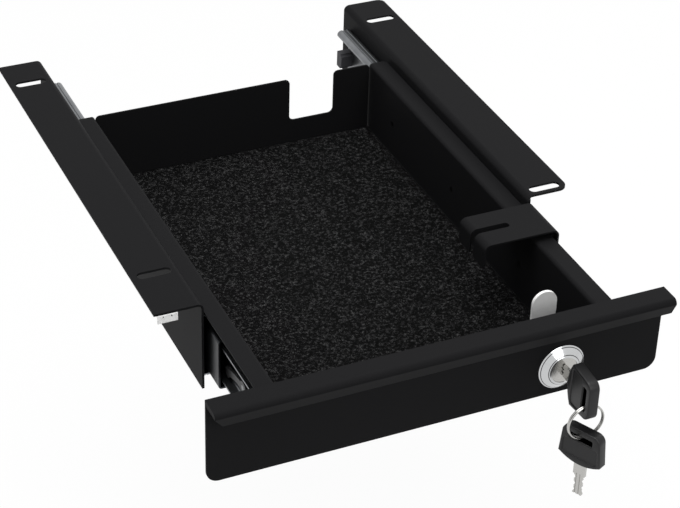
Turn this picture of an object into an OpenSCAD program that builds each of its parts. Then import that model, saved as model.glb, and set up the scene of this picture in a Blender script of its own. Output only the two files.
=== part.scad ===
// Under-desk drawer safe. A shallow steel drawer runs on two ball-bearing
// slides between two folded brackets that screw up under a desk top. A cam
// lock in the front panel turns a steel cam into the slotted leg of a strike
// plate on the right bracket.
//
// Frame: +X to the right seen from the front, +Y into the depth, +Z up.
// The origin is on the desk's underside, at the centre of the four slots.
// The drawer slides along -Y and stands open by drawer_open.

/* [Brackets] */
// Width of a bracket's top flange
flange_w = 31.5; // [28:0.5:45]
// Distance between the front and rear slots
slot_span_y = 254; // [230:1:260]
// Length of a mounting slot from end to end
slot_len = 22; // [14:1:24]
// Width of a mounting slot
slot_w = 7; // [4:0.5:8]
// Height of a bracket's web
bracket_h = 63.5; // [62:0.5:80]
// Thickness of the bracket sheet
bracket_t = 1.5; // [1:0.1:2]
// Outer radius of the bend between web and flange
bracket_bend_r = 4; // [2.5:0.5:6]
// How far the brackets reach behind the rear slots
bracket_tail = 29; // [20:1:40]

/* [Drawer] */
// Width over the drawer's side walls
drawer_w = 211.6; // [200:0.2:211.6]
// How much deeper the drawer is than its slides are long
drawer_extra = 28; // [20:1:29]
// Height from the drawer's floor to the top of its flanges
drawer_h = 53.6; // [51:0.2:54.2]
// Thickness of the drawer sheet
drawer_t = 1.2; // [0.8:0.1:1.6]
// Outer radius of the bend between side wall and flange
drawer_bend_r = 2.5; // [2.5:0.5:6]
// How far the drawer's flanges lie under the desk's underside
drawer_drop = 8; // [7.5:0.1:10]
// How far the drawer stands open
drawer_open = 72; // [0:0.5:200]
// Thickness of the felt liner
felt_t = 2.5; // [1:0.5:5]

/* [Front panel] */
// Width of the front panel
panel_w = 300; // [280:1:330]
// Height of the front panel with its lip
panel_h = 60; // [58:0.5:60.5]
// Thickness of the front panel sheet
panel_t = 1.5; // [1:0.1:2]
// Radius of the panel's lower corners
panel_corner_r = 8; // [3:0.5:14]
// How far the pull lip stands out in front of the panel
lip_out = 14.2; // [10:0.2:18]
// Height of the pull lip as a share of the panel's height
lip_share = 0.343; // [0.3:0.005:0.36]

/* [Cable notch] */
// Width of the notch in the back wall
notch_w = 34.5; // [20:0.5:50]
// Depth of the notch below the top of the back wall
notch_d = 33.6; // [15:0.2:40]
// Distance of the notch's centre from the drawer's middle
notch_x = 58.6; // [30:0.2:65]

/* [Slides] */
// Length of the outer rails
slide_len = 305; // [295:1:310]
// Height of the outer rails
slide_h = 45.7; // [44.5:0.1:46.5]
// Thickness of the rails' sheet
rail_t = 1.2; // [0.9:0.1:1.3]
// Diameter of the balls
ball_d = 3.5; // [3:0.1:3.7]
// Play round a ball in its race
ball_play = 0.15; // [0.1:0.05:0.2]

/* [Lock] */
// Distance of the lock's axis from the drawer's middle
lock_x = 81; // [76:0.5:82]
// Diameter of the lock's cone-shaped bezel
bezel_d = 31.4; // [26:0.2:32]
// How far the bezel stands out from the panel
bezel_h = 4.8; // [3:0.2:6]
// Diameter of the lock's barrel
barrel_d = 19; // [17:0.5:20]
// Diameter of the turning plug inside the barrel
plug_d = 13; // [12:0.5:14]
// Diameter of the plug's round face
plug_face_d = 18; // [16:0.5:19]
// Width of the cam
cam_w = 16.8; // [13:0.2:18]
// Thickness of the cam
cam_t = 2; // [1.5:0.1:2.5]
// Distance from the panel's face to the cam's middle plane
cam_setback = 26; // [24:0.5:28]

/* [Strike] */
// Size of the strike plate from front to back
strike_d = 35; // [28:1:38]
// Thickness of the strike plate
strike_t = 1.2; // [1:0.1:1.5]
// How far the strike plate lies under the desk's underside
strike_drop = 2.2; // [1:0.1:3]
// Reach of the strike plate from the bracket's web to its slotted leg
strike_reach = 50.5; // [49:0.5:52]
// Height of the strike's slotted leg
strike_leg_h = 16.8; // [15:0.1:20]
// Width of the strike's slot
strike_slot_w = 5; // [4:0.2:8]
// Length of the slot in the strike's top
strike_slot_len = 26; // [15:0.5:30]

/* [Keys] */
// Width of a key's head across the blade
head_w = 31; // [26:0.5:32]
// Length of a key's head along the blade
head_l = 26; // [23:0.5:30]
// Thickness of a key's head
head_t = 7.2; // [5:0.2:8]
// Length of a key's blade beyond its shoulder
blade_l = 15; // [12:0.5:18]
// Length of the blade between its shoulder and the head
neck_l = 9.6; // [5:0.2:12]
// Height of a key's blade
blade_h = 6.4; // [5:0.2:8]
// Thickness of a key's blade
blade_t = 2; // [1.6:0.1:2.2]
// Outer diameter of the split ring
ring_d = 25; // [23:0.5:28]
// Diameter of the split ring's wire
ring_wire = 1.3; // [1:0.1:1.4]
// Turn of the spare key's head about the vertical
spare_turn = 26; // [0:1:45]

/* [Hidden] */
$fn = 48;
over = 1;                 // overrun of every cut past a face
fit_gap = 0.05;           // radial play of a turning or riveted fit

// Brackets
slide_t = 12.7;           // space that a slide takes between web and drawer
web_in = drawer_w / 2 + slide_t;
rail_front_gap = 6.5;     // from the bracket's front to the rail's front
rail_back_gap = 12.5;     // from the rail's back to the bracket's back
bracket_len = rail_front_gap + slide_len + rail_back_gap;
slot_y = slot_span_y / 2;
slot_x = web_in + (flange_w + bracket_t) / 2;
flange_out = web_in + flange_w;
bracket_back = slot_y + bracket_tail;
bracket_front = bracket_back - bracket_len;
flange_corner_r = 7;
rear_corner_r = 5;
left_corner_r = 2;        // the left flange's rear corner is nearly square
flange_fillet_r = 3;
flange_step = 4.5;        // from the strike's back to the right flange

// Drawer, measured from the front panel's face with the drawer shut
drawer_d = slide_len + drawer_extra;
drawer_half = drawer_w / 2;
drawer_in = drawer_half - drawer_t;
flange_gap = 1;           // from the drawer's flange to the bracket's web
flange_edge = web_in - flange_gap;
floor_z = -drawer_drop - drawer_h;
floor_top = floor_z + drawer_t;
end_relief = 0.5;         // from the end walls to the side walls
wall_foot_r = 2;          // clears the fold between floor and side walls
front_wall_h = 38;
fold_r = 2.4;             // outer radius of the folds along the floor
notch_foot_r = 4;
notch_lip_r = 3.5;
felt_play = 0.2;
felt_gap = fold_r - drawer_t + felt_play;
flange_tip_r = 3;

// Strike, and the shut place of the drawer that brings the cam to its slot
strike_ahead = 5;         // the strike stands out this far before the bracket
strike_y = bracket_front - strike_ahead + strike_d / 2;
shut_front = strike_y - cam_setback;
strike_top = -strike_drop;
strike_under = strike_top - strike_t;
strike_tip = web_in - strike_reach;
strike_tab_h = 24;
strike_bend_r = 4.5;
strike_corner_r = 3;
strike_seat_gap = 0.3;    // from the web's lowered edge to the strike's bend
strike_rivet_r = 2;
strike_rivet_head_r = 3.6;
strike_rivet_head_h = 1;
strike_rivet_shares = [-0.28, 0.28];
strike_rivet_drop_share = 0.68;

// Front panel and lip
panel_foot_gap = 1;       // the panel hangs this far below the drawer's floor
panel_foot = floor_z - panel_foot_gap;
panel_head = panel_foot + panel_h;
lip_h = lip_share * panel_h;
lip_foot = panel_head - lip_h;
lip_nose_r = 3.4;
lip_end_t = 1.2;          // sheet that closes the lip's right end
lip_mitre = 12;           // the foot starts this far from the left end
lip_lower_share = 0.58;   // height of the lip's lower fold as a share of lip_h
lip_lower_out_share = 0.72;

// Slides, in a section with u from the web inwards and v up
rail_z = -36.2;
rail_front = bracket_front + rail_front_gap;
rail_stop = 10;           // the moving rails end this far before the outer
moving_len = slide_len - rail_stop;
ball_r = ball_d / 2;
race_r = ball_r + ball_play;
race_out = race_r + rail_t;
outer_race_v = slide_h / 2 - race_out;
flange_v = outer_race_v - race_r;
inner_race_v = flange_v - rail_t - race_r;
runner_v = inner_race_v - race_r;
outer_race_u = 7.6;
inner_race_u = 8;
mid_web_u = 3;
runner_web_u = slide_t - rail_t;
runner_tip_u = 5.5;
hook_drop = 0.85;         // how far a rail's hook reaches past the ball's middle
corner_r = 2.4;
cage_t = 0.6;
cage_web_u = 1.8;
cage_inner_web_u = 4.5;
cage_reach = 1.05;        // the cage's strip past the middle of the balls
pocket_play = 0.1;
cage_len = 130;
ball_pitch = 13;
ball_count = floor((cage_len - ball_pitch) / ball_pitch) + 1;
mid_share = 0.5;
mid_setback = 13.5;       // the middle rails begin this far behind the others
bead_r = 0.45;            // grooves rolled along the outer rails' top and foot
bead_shares = [0.47, 0.84];
outer_cage_share = 0.25;
inner_cage_share = 0.75;
bumper_l = 8;
bumper_h = 12;
bumper_u = 9.2;
bumper_r = 2;

// Rivets that hold the rails
rivet_r = 2.4;
rivet_sink_r = 3.6;
rivet_sink = 0.8;
rivet_shares = [0.07, 0.5, 0.9];
screw_r = 1.8;
screw_head_r = 3.4;
screw_head_h = 1.3;
screw_shares = [0.27, 0.6, 0.92];

// Release levers on the drawer's rails
lever_y = 24;             // from the rail's front end to the lever's pivot
lever_u = 8.4;
lever_t = 2;
lever_boss_r = 4.4;
lever_pin_r = 1.9;
lever_arm_r = 60;
lever_arm_w = 4.5;
lever_arc = 24;
lever_tab_r = 3.6;

// Lock
lock_z = (panel_foot + lip_foot) / 2;
bezel_r = bezel_d / 2;
bezel_edge = 0.9;         // height of the bezel's outer edge
bezel_top_w = 1.1;        // width of the ring round the plug's face
barrel_back = 18.5;
nut_t = 4;
nut_af = 24;
plug_r = plug_d / 2;
plug_face_r = plug_face_d / 2;
plug_sink = 0.5;          // the plug's face lies this far inside the bezel
plug_face_t = 3;
plug_face = bezel_h - plug_sink;
plug_seat = plug_face - plug_face_t;
spigot_w = 7;
spigot_over = 0.4;
cam_front = cam_setback - cam_t / 2;
cam_back = cam_setback + cam_t / 2;
cam_tip_r = cam_w / 2;
cam_gap = 0.8;            // from the raised cam to the strike above it
cam_len = strike_under - cam_gap - lock_z;
plug_back = cam_front;
collar_r = 8.2;
cam_head_r = 5;
cam_head_h = 2.6;
cam_screw_r = 1.6;
cam_screw_l = 7;
key_gap = 0.2;
keyway_end_gap = 0.8;

// Keys, with the blade along +Y and the shoulder's stop at y = 0
neck_h = 8.4;             // the neck is wider than the blade, so it stops it
stop_gap = 0.6;           // from the plug's face to the key's shoulder
key_stop = plug_face + stop_gap;
head_r = 5.5;
head_end_share = 0.89;    // the head narrows to this share at the ring's end
head_side_r = 1.5;
tang_l = 8;
tang_h = 6;
panel_sink = 0.6;
panel_inset = 3;
bow_slot_l = 16.4;
bow_slot_w = 4.2;
bow_rim = 4.2;
bow_r = 28;
bow_land = 5;             // plain stretch of the head next to the blade
groove_h = 1;
groove_d = 0.45;
groove_shares = [-0.2, 0.2];
cut_r = 1.9;
cut_shares = [0.16, 0.33, 0.5, 0.67, 0.82];
cut_top_shares = [0.55, 0.2, 0.7, 0.35, 0.6];
cut_low_shares = [0.3, 0.65, 0.25, 0.6, 0.4];
tip_chamfer = 3;

// Split ring
ring_r = ring_d / 2;
ring_in = ring_r - ring_wire;
ring_rest = 0.6;          // free height between the ring and a key's slot
turn_lap = 0.1;
ring_half = ring_wire - turn_lap / 2;

// Small clip on the left flange's front edge
clip_w_share = 0.41;      // width as a share of the flange's width
clip_w = clip_w_share * flange_w;
clip_l = 12;
clip_h = 7;
clip_t = 0.6;
clip_gap = 0.15;
clip_arch_r = 3.2;
clip_arch_t = 0.7;
clip_corner = 2;

// Places a 2D section drawn in (x, z) along Y from y0 to y1
module along_y(y0, y1) {
  translate([0, y1, 0]) rotate([90, 0, 0]) linear_extrude(y1 - y0) children();
}

// Places a 2D section drawn in (y, z) along X from x0 to x1
module along_x(x0, x1) {
  translate([x0, 0, 0]) rotate([90, 0, 90]) linear_extrude(x1 - x0) children();
}

// Quarter of a ring in the corner of +x and +y
module quarter_ring(r_out, t) {
  intersection() {
    difference() {
      circle(r_out);
      circle(r_out - t);
    }
    square(r_out);
  }
}

// Rectangle with rounded corners, from its lower left corner
module round_rect(w, h, r) {
  translate([r, 0]) square([w - 2 * r, h]);
  translate([0, r]) square([w, h - 2 * r]);
  for (x = [r, w - r], y = [r, h - r])
    translate([x, y]) circle(r);
}

// Straight strip of sheet between two points of a section, with round ends
module strip(p, q, t) {
  dx = q[0] - p[0];
  dy = q[1] - p[1];
  translate(p) rotate(atan2(dy, dx)) translate([0, -t / 2])
    square([sqrt(dx * dx + dy * dy), t]);
  translate(p) circle(t / 2);
  translate(q) circle(t / 2);
}

// What is left of a square corner outside its radius, to be cut away;
// the corner is at the origin and the piece lies towards -x and -y
module corner_waste(r, h) {
  translate([-r, -r, 0]) difference() {
    cube([r + over, r + over, h]);
    translate([0, 0, -over]) cylinder(r = r, h = h + 2 * over);
  }
}

// A slot along X through a sheet that lies at z = 0 and below
module slot_cut(length, w, t) {
  run = (length - w) / 2;
  translate([0, 0, -t - over]) {
    for (s = [-1, 1])
      translate([s * run, 0, 0]) cylinder(d = w, h = t + 2 * over);
    translate([-run, -w / 2, 0]) cube([2 * run, w, t + 2 * over]);
  }
}

// Moves a piece of the drawer from the panel's frame to its place
module on_drawer(share = 1) {
  translate([0, shut_front - share * drawer_open, 0]) children();
}

module at_lock() {
  translate([lock_x, 0, lock_z]) children();
}

// Brackets
module bracket_blank() {
  along_y(bracket_front, bracket_back) {
    translate([web_in, -bracket_h])
      square([bracket_t, bracket_h - bracket_bend_r]);
    translate([web_in + bracket_bend_r, -bracket_t])
      square([flange_w - bracket_bend_r, bracket_t]);
    translate([web_in + bracket_bend_r, -bracket_bend_r])
      mirror([1, 0]) quarter_ring(bracket_bend_r, bracket_t);
  }
}

module rivet_holes() {
  for (s = rivet_shares)
    translate([web_in - over, rail_front + s * slide_len, rail_z])
      rotate([0, 90, 0]) cylinder(r = rivet_r + fit_gap, h = bracket_t + 2 * over);
  for (s = rivet_shares)
    translate([web_in + bracket_t - rivet_sink, rail_front + s * slide_len, rail_z])
      rotate([0, 90, 0]) cylinder(r = rivet_sink_r + fit_gap, h = rivet_sink + over);
}

module bracket_body(rear_r) {
  difference() {
    bracket_blank();
    for (y = [-slot_y, slot_y])
      translate([slot_x, y, 0]) slot_cut(slot_len, slot_w, bracket_t);
    translate([flange_out, bracket_back, -bracket_t - over])
      corner_waste(rear_r, bracket_t + 2 * over);
    rivet_holes();
  }
}

module left_bracket() {
  color([0.16, 0.16, 0.16]) mirror([1, 0, 0]) bracket_body(left_corner_r);
}

module flange_notch() {
  notch_back = strike_y + strike_d / 2 + flange_step;
  flange_cut = notch_back - bracket_front;
  seat = strike_top - strike_bend_r - strike_seat_gap;
  // the flange and the top of the web make room for the strike
  translate([web_in - over, bracket_front - over, seat])
    cube([flange_w + 2 * over, flange_cut + over - flange_fillet_r, over - seat]);
  translate([web_in + bracket_t + flange_fillet_r, bracket_front, seat])
    cube([flange_w + over, flange_cut, over - seat]);
  translate([web_in + bracket_t, notch_back - flange_fillet_r, seat])
    translate([flange_fillet_r, 0, 0])
      cylinder(r = flange_fillet_r, h = over - seat);
  translate([flange_out, notch_back, -bracket_t - over])
    mirror([0, 1, 0]) corner_waste(flange_corner_r, bracket_t + 2 * over);
}

module right_bracket() {
  color([0.16, 0.16, 0.16]) difference() {
    bracket_body(rear_corner_r);
    flange_notch();
    strike_rivet_bores(strike_rivet_r + fit_gap);
  }
}

// Strike plate
module strike_rivet_bores(r) {
  for (s = strike_rivet_shares)
    translate([web_in - over, strike_y + s * strike_d,
               strike_top - strike_rivet_drop_share * strike_tab_h])
      rotate([0, 90, 0]) cylinder(r = r, h = bracket_t + strike_t + 2 * over);
}

module strike_section() {
  tab_x = web_in + bracket_t + fit_gap;
  // top, with the inner leg's bend at its left and the tab's at its right
  translate([strike_tip + strike_bend_r, strike_under])
    square([tab_x + strike_t - 2 * strike_bend_r - strike_tip, strike_t]);
  translate([strike_tip + strike_bend_r, strike_top - strike_bend_r])
    mirror([1, 0]) quarter_ring(strike_bend_r, strike_t);
  translate([strike_tip, strike_top - strike_leg_h])
    square([strike_t, strike_leg_h - strike_bend_r]);
  translate([tab_x + strike_t - strike_bend_r, strike_top - strike_bend_r])
    quarter_ring(strike_bend_r, strike_t);
  translate([tab_x, strike_top - strike_tab_h])
    square([strike_t, strike_tab_h - strike_bend_r]);
}

module strike_plate() {
  y0 = strike_y - strike_d / 2;
  color([0.16, 0.16, 0.16]) difference() {
    along_y(y0, y0 + strike_d) strike_section();
    // the slot runs down the whole leg and into the top
    translate([strike_tip - over, strike_y - strike_slot_w / 2,
               strike_top - strike_leg_h - over])
      cube([strike_slot_len + over - strike_slot_w / 2, strike_slot_w,
            strike_leg_h + 2 * over]);
    translate([strike_tip + strike_slot_len - strike_slot_w / 2, strike_y,
               strike_under - over])
      cylinder(d = strike_slot_w, h = strike_t + 2 * over);
    // rounded feet of the leg
    for (s = [-1, 1])
      translate([strike_tip - over, strike_y, strike_top - strike_leg_h])
        rotate([90, 0, 90]) mirror([s < 0 ? 1 : 0, 0, 0]) mirror([0, 1, 0])
          translate([strike_d / 2, 0, 0])
            corner_waste(strike_corner_r, strike_t + 2 * over);
    strike_rivet_bores(strike_rivet_r + fit_gap);
  }
}

module strike_rivets() {
  head_x = web_in + bracket_t + fit_gap + strike_t;
  color([0.2, 0.2, 0.2])
    for (s = strike_rivet_shares)
      translate([0, strike_y + s * strike_d,
                 strike_top - strike_rivet_drop_share * strike_tab_h]) {
        translate([web_in, 0, 0]) rotate([0, 90, 0])
          cylinder(r = strike_rivet_r, h = head_x - web_in);
        translate([head_x, 0, 0]) rotate([0, 90, 0])
          cylinder(r1 = strike_rivet_head_r, r2 = strike_rivet_r,
                   h = strike_rivet_head_h);
      }
}

// Small plated clip pushed on the left flange's front edge
module flange_clip() {
  x0 = -flange_out + clip_corner;
  top = clip_gap + clip_t;
  face_y = bracket_front - clip_gap;
  color([0.8, 0.8, 0.8]) {
    // front face, with one lower corner cut off
    difference() {
      translate([x0, face_y - clip_t, -clip_h])
        cube([clip_w, clip_t, clip_h - bracket_t - clip_gap]);
      translate([x0 + clip_w, face_y - clip_t - over, -clip_h])
        rotate([0, 45, 0])
          cube([clip_corner, clip_t + 2 * over, clip_corner], center = false);
      translate([x0 + clip_w / 2, face_y + over, -clip_h + clip_arch_r])
        rotate([90, 0, 0]) difference() {
          cylinder(r = clip_arch_r, h = clip_t + 2 * over);
          translate([0, 0, -over])
            cylinder(r = clip_arch_r - clip_arch_t, h = clip_t + 4 * over);
          translate([-clip_arch_r - over, -clip_arch_r - over, -over])
            cube([2 * clip_arch_r + 2 * over, clip_arch_r + over, clip_t + 4 * over]);
        }
    }
    // tongue that grips under the flange
    translate([x0, face_y - clip_t, -bracket_t - clip_gap - clip_t])
      cube([clip_w, clip_l, clip_t]);
  }
}

// Slides, drawn for the right side and mirrored for the left
module on_slide() {
  translate([web_in, rail_z]) mirror([1, 0]) children();
}

module both_edges() {
  for (m = [0, 1]) mirror([0, m]) children();
}

// Hooked edge of a rail round one row of balls
module hook(u, v) {
  translate([u, v]) intersection() {
    difference() {
      circle(race_out);
      circle(race_r);
    }
    translate([0, -hook_drop]) square([race_out, race_out + hook_drop]);
  }
}

module outer_rail_section() {
  translate([0, -slide_h / 2 + corner_r])
    square([rail_t, slide_h - 2 * corner_r]);
  both_edges() {
    difference() {
      translate([corner_r, slide_h / 2 - rail_t])
        square([outer_race_u - corner_r, rail_t]);
      for (s = bead_shares)
        translate([s * outer_race_u, slide_h / 2]) circle(bead_r);
    }
    translate([corner_r, slide_h / 2 - corner_r])
      mirror([1, 0]) quarter_ring(corner_r, rail_t);
    hook(outer_race_u, outer_race_v);
  }
}

module middle_rail_section() {
  translate([mid_web_u, -flange_v + corner_r])
    square([rail_t, 2 * flange_v - 2 * corner_r]);
  both_edges() {
    translate([mid_web_u + corner_r, flange_v - rail_t])
      square([inner_race_u - mid_web_u - corner_r, rail_t]);
    translate([mid_web_u + corner_r, flange_v - corner_r])
      mirror([1, 0]) quarter_ring(corner_r, rail_t);
    hook(inner_race_u, inner_race_v);
  }
}

module drawer_rail_section() {
  translate([runner_web_u, -runner_v + corner_r])
    square([rail_t, 2 * runner_v - 2 * corner_r]);
  both_edges() {
    translate([runner_tip_u, runner_v - rail_t])
      square([slide_t - corner_r - runner_tip_u, rail_t]);
    translate([slide_t - corner_r, runner_v - corner_r])
      quarter_ring(corner_r, rail_t);
  }
}

module outer_rail() {
  color([0.5, 0.5, 0.5]) difference() {
    along_y(rail_front, rail_front + slide_len) on_slide() outer_rail_section();
    for (s = rivet_shares)
      translate([web_in - rail_t - over, rail_front + s * slide_len, rail_z])
        rotate([0, 90, 0]) cylinder(r = rivet_r + fit_gap, h = rail_t + 2 * over);
  }
}

module middle_rail() {
  y0 = rail_front - mid_share * drawer_open;
  color([0.55, 0.55, 0.55])
    along_y(y0 + mid_setback, y0 + moving_len) on_slide() middle_rail_section();
}

module drawer_rail() {
  y0 = rail_front - drawer_open;
  pin_u = lever_u - fit_gap;
  color([0.55, 0.55, 0.55]) {
    difference() {
      along_y(y0, y0 + moving_len) on_slide() drawer_rail_section();
      for (s = screw_shares)
        translate([web_in - slide_t - over, y0 + s * moving_len, rail_z])
          rotate([0, 90, 0]) cylinder(r = screw_r + fit_gap, h = rail_t + 2 * over);
    }
    // pin that carries the release lever
    translate([web_in - runner_web_u, y0 + lever_y, rail_z])
      rotate([0, 90, 0]) cylinder(r = lever_pin_r, h = runner_web_u - pin_u);
  }
}

module left_outer_rail() { mirror([1, 0, 0]) outer_rail(); }
module right_outer_rail() { outer_rail(); }
module left_middle_rail() { mirror([1, 0, 0]) middle_rail(); }
module right_middle_rail() { middle_rail(); }
module left_drawer_rail() { mirror([1, 0, 0]) drawer_rail(); }
module right_drawer_rail() { drawer_rail(); }

// Rubber stop in the rear end of an outer rail
module rail_bumper() {
  y1 = rail_front + slide_len;
  color([0.2, 0.2, 0.21]) difference() {
    translate([web_in - bumper_u - rail_t, y1 - bumper_l, rail_z - bumper_h / 2])
      cube([bumper_u, bumper_l, bumper_h]);
    for (s = [-1, 1])
      translate([web_in - bumper_u - rail_t, y1 - bumper_l,
                 rail_z + s * bumper_h / 2])
        rotate([0, 90, 0]) mirror([s < 0 ? 1 : 0, 0, 0])
          cylinder(r = bumper_r, h = 2 * bumper_u, center = true);
  }
}

module left_rail_bumper() { mirror([1, 0, 0]) rail_bumper(); }
module right_rail_bumper() { rail_bumper(); }

// Rows of balls, and the bent strips that keep them apart
module cage_section(web_u, race_u, race_v) {
  translate([web_u, -race_v - cage_t / 2]) square([cage_t, 2 * race_v + cage_t]);
  for (s = [-1, 1])
    translate([web_u, s * race_v - cage_t / 2])
      square([race_u + cage_reach - web_u, cage_t]);
}

module ball_places(y_mid, race_u, race_v) {
  for (i = [0 : ball_count - 1], s = [-1, 1])
    translate([web_in - race_u,
               y_mid + (i - (ball_count - 1) / 2) * ball_pitch,
               rail_z + s * race_v])
      children();
}

module cage(y_mid, web_u, race_u, race_v) {
  color([0.35, 0.35, 0.36]) difference() {
    along_y(y_mid - cage_len / 2, y_mid + cage_len / 2)
      on_slide() cage_section(web_u, race_u, race_v);
    ball_places(y_mid, race_u, race_v)
      cylinder(r = ball_r + pocket_play, h = cage_t + 2 * over, center = true);
  }
}

cage_mid = rail_front + moving_len / 2;
function outer_cage_y() = cage_mid - outer_cage_share * drawer_open;
function inner_cage_y() = cage_mid - inner_cage_share * drawer_open;

module outer_cage() {
  cage(outer_cage_y(), cage_web_u, outer_race_u, outer_race_v);
}
module inner_cage() {
  cage(inner_cage_y(), cage_inner_web_u, inner_race_u, inner_race_v);
}
module balls(y_mid, race_u, race_v) {
  color([0.8, 0.8, 0.8]) ball_places(y_mid, race_u, race_v) sphere(r = ball_r);
}
module outer_balls() { balls(outer_cage_y(), outer_race_u, outer_race_v); }
module inner_balls() { balls(inner_cage_y(), inner_race_u, inner_race_v); }

module left_outer_cage() { mirror([1, 0, 0]) outer_cage(); }
module right_outer_cage() { outer_cage(); }
module left_inner_cage() { mirror([1, 0, 0]) inner_cage(); }
module right_inner_cage() { inner_cage(); }
module left_outer_balls() { mirror([1, 0, 0]) outer_balls(); }
module right_outer_balls() { outer_balls(); }
module left_inner_balls() { mirror([1, 0, 0]) inner_balls(); }
module right_inner_balls() { inner_balls(); }

// Countersunk rivets through rail and web
module rail_rivets() {
  color([0.25, 0.25, 0.25])
    for (m = [0, 1]) mirror([m, 0, 0])
      for (s = rivet_shares)
        translate([web_in - rail_t, rail_front + s * slide_len, rail_z])
          rotate([0, 90, 0]) {
            cylinder(r = rivet_r, h = rail_t + bracket_t);
            translate([0, 0, rail_t + bracket_t - rivet_sink])
              cylinder(r = rivet_sink_r, h = rivet_sink);
          }
}

// Screws from inside the drawer's rails into the drawer's walls
module drawer_rail_screws() {
  y0 = rail_front - drawer_open;
  color([0.6, 0.6, 0.6])
    for (m = [0, 1]) mirror([m, 0, 0])
      for (s = screw_shares)
        translate([drawer_in, y0 + s * moving_len, rail_z])
          rotate([0, 90, 0]) {
            cylinder(r = screw_r, h = drawer_t + rail_t);
            translate([0, 0, drawer_t + rail_t])
              cylinder(r = screw_head_r, h = screw_head_h);
          }
}

// Plastic lever that frees the drawer's rail from the slide
module release_lever() {
  color([0.12, 0.12, 0.12])
    translate([web_in - lever_u - lever_t, rail_front - drawer_open + lever_y, rail_z])
      rotate([90, 0, 90]) difference() {
        linear_extrude(lever_t) {
          circle(lever_boss_r);
          // curved arm that ends in a round thumb tab
          translate([0, -lever_arm_r]) intersection() {
            difference() {
              circle(lever_arm_r + lever_arm_w / 2, $fn = 96);
              circle(lever_arm_r - lever_arm_w / 2, $fn = 96);
            }
            polygon([[0, 0], [0, 2 * lever_arm_r],
                     [2 * lever_arm_r * sin(lever_arc), 2 * lever_arm_r * cos(lever_arc)]]);
          }
          translate([lever_arm_r * sin(lever_arc),
                     lever_arm_r * cos(lever_arc) - lever_arm_r])
            circle(lever_tab_r);
        }
        translate([0, 0, -over])
          cylinder(r = lever_pin_r + fit_gap, h = lever_t + 2 * over);
      }
}

module left_release_lever() { mirror([1, 0, 0]) release_lever(); }
module right_release_lever() { release_lever(); }

// Drawer: a tray of floor and side walls with flanges, and two end walls
module tray_side_section() {
  translate([drawer_in, floor_z + fold_r])
    square([drawer_t, drawer_h - fold_r - drawer_bend_r]);
  translate([drawer_half - fold_r, floor_z + fold_r])
    mirror([0, 1]) quarter_ring(fold_r, drawer_t);
  translate([0, floor_z]) square([drawer_half - fold_r, drawer_t]);
  translate([drawer_in + drawer_bend_r, -drawer_drop - drawer_bend_r])
    mirror([1, 0]) quarter_ring(drawer_bend_r, drawer_t);
  translate([drawer_in + drawer_bend_r, -drawer_drop - drawer_t])
    square([flange_edge - drawer_in - drawer_bend_r, drawer_t]);
}

module cable_notch() {
  x0 = notch_x - notch_w / 2;
  z1 = -drawer_drop;
  z0 = z1 - notch_d;
  along_y(drawer_d - drawer_t - over, drawer_d + over) {
    translate([x0, z0]) round_rect(notch_w, notch_d + over + notch_foot_r, notch_foot_r);
    // rounded mouth
    for (s = [-1, 1])
      translate([notch_x + s * (notch_w / 2 + notch_lip_r), z1 - notch_lip_r])
        difference() {
          translate([s > 0 ? -notch_lip_r - over : 0, 0])
            square([notch_lip_r + over, notch_lip_r + over]);
          circle(notch_lip_r);
        }
  }
}

module drawer_tray() {
  color([0.14, 0.14, 0.14]) on_drawer() difference() {
    for (m = [0, 1]) mirror([m, 0, 0])
      along_y(panel_t, drawer_d) tray_side_section();
    // rounded rear corners of the flanges
    for (m = [0, 1]) mirror([m, 0, 0]) {
      translate([flange_edge, drawer_d, -drawer_drop - drawer_t - over])
        corner_waste(flange_tip_r, drawer_t + 2 * over);
      translate([drawer_half, 0, rail_z]) rail_screw_bores();
    }
  }
}

// An end wall, drawn in (x, z), stands on the drawer's floor
module end_wall(h) {
  wall = drawer_in - end_relief;
  difference() {
    translate([-wall, floor_top]) square([2 * wall, h]);
    for (m = [0, 1]) mirror([m, 0])
      translate([wall - wall_foot_r, floor_top]) difference() {
        translate([0, -over]) square([wall_foot_r + over, wall_foot_r + over]);
        translate([0, wall_foot_r]) circle(wall_foot_r);
      }
  }
}

module drawer_back_wall() {
  wall = drawer_in - end_relief;
  color([0.14, 0.14, 0.14]) on_drawer() difference() {
    along_y(drawer_d - drawer_t, drawer_d) end_wall(drawer_h - drawer_t);
    cable_notch();
    for (m = [0, 1]) mirror([m, 0, 0])
      translate([wall, drawer_d + over, -drawer_drop])
        rotate([90, 0, 0]) corner_waste(flange_tip_r, drawer_t + 2 * over);
  }
}

module drawer_front_wall() {
  color([0.14, 0.14, 0.14]) on_drawer() difference() {
    along_y(panel_t, panel_t + drawer_t) end_wall(front_wall_h - drawer_t);
    at_lock() rotate([-90, 0, 0])
      cylinder(d = barrel_d + 2 * fit_gap, h = panel_t + drawer_t + over);
  }
}

module rail_screw_bores() {
  for (s = screw_shares)
    translate([-drawer_t - over, rail_front - shut_front + s * moving_len, 0])
      rotate([0, 90, 0]) cylinder(r = screw_r + fit_gap, h = drawer_t + 2 * over);
}

// Front panel with its folded pull lip, drawn in (y, z)
lip_mid = panel_t / 2;
lip_nose = [-lip_out + lip_nose_r, panel_head - lip_nose_r];
lip_front = [-lip_out + lip_mid, panel_head - lip_nose_r];
lip_low = [-lip_lower_out_share * lip_out + lip_mid,
           panel_head - lip_lower_share * lip_h];
lip_end = [lip_mid, lip_foot];

module lip_section() {
  translate([lip_nose[0], panel_head - panel_t])
    square([panel_t - lip_nose[0], panel_t]);
  translate(lip_nose) mirror([1, 0]) quarter_ring(lip_nose_r, panel_t);
  strip(lip_front, lip_low, panel_t);
  strip(lip_low, lip_end, panel_t);
}

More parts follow.
